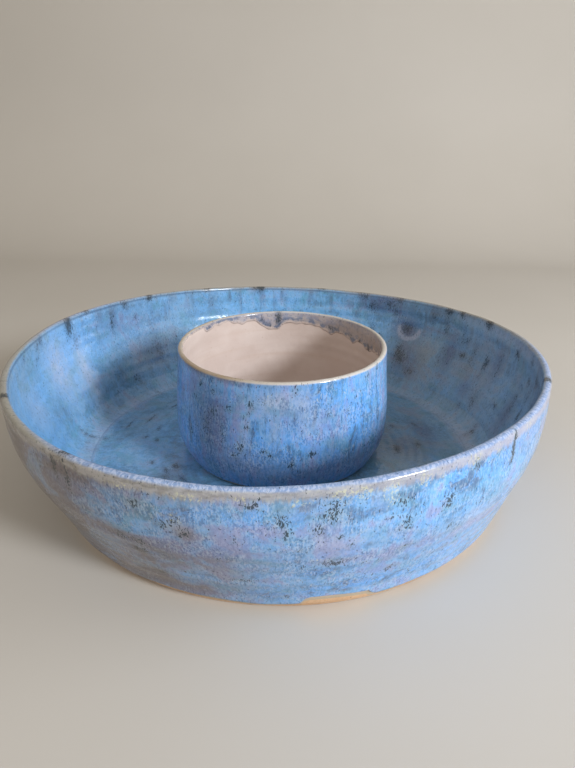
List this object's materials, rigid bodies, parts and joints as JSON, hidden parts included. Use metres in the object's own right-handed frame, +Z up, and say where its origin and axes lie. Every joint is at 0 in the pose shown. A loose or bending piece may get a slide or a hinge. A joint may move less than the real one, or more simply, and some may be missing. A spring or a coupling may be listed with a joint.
{
  "type": "chip and dip server",
  "caption": "Wide low stoneware bowl for chips with a small round dip cup standing in its middle, in streaked blue glaze over a bare clay foot.",
  "frame": {"origin": "centre of the bowl's foot, on the face that it stands on", "axes": "+Z up along the axis of both pots; both pots are round, so +X and +Y are only two level directions"},
  "size_m": [0.28, 0.28, 0.073],
  "materials": {
    "stoneware_clay": "unglazed fired stoneware, matte with fine turning lines",
    "blue_glaze": "glossy streaked blue with lavender, teal and dark flecks, breaking to tan on the lips",
    "cream_glaze": "glossy warm cream liner"
  },
  "bodies": {
    "bowl": {"chip_bowl": "stoneware_clay", "chip_bowl_glaze": "blue_glaze"},
    "cup": {"dip_cup": "stoneware_clay", "dip_cup_glaze": "blue_glaze", "dip_cup_liner_glaze": "cream_glaze"}
  },
  "joints": [
    {"name": "cup_lift", "type": "slide", "parent": "bowl", "child": "cup", "axis": [0, 0, 1], "range_m": [0, 0.09]}
  ]
}
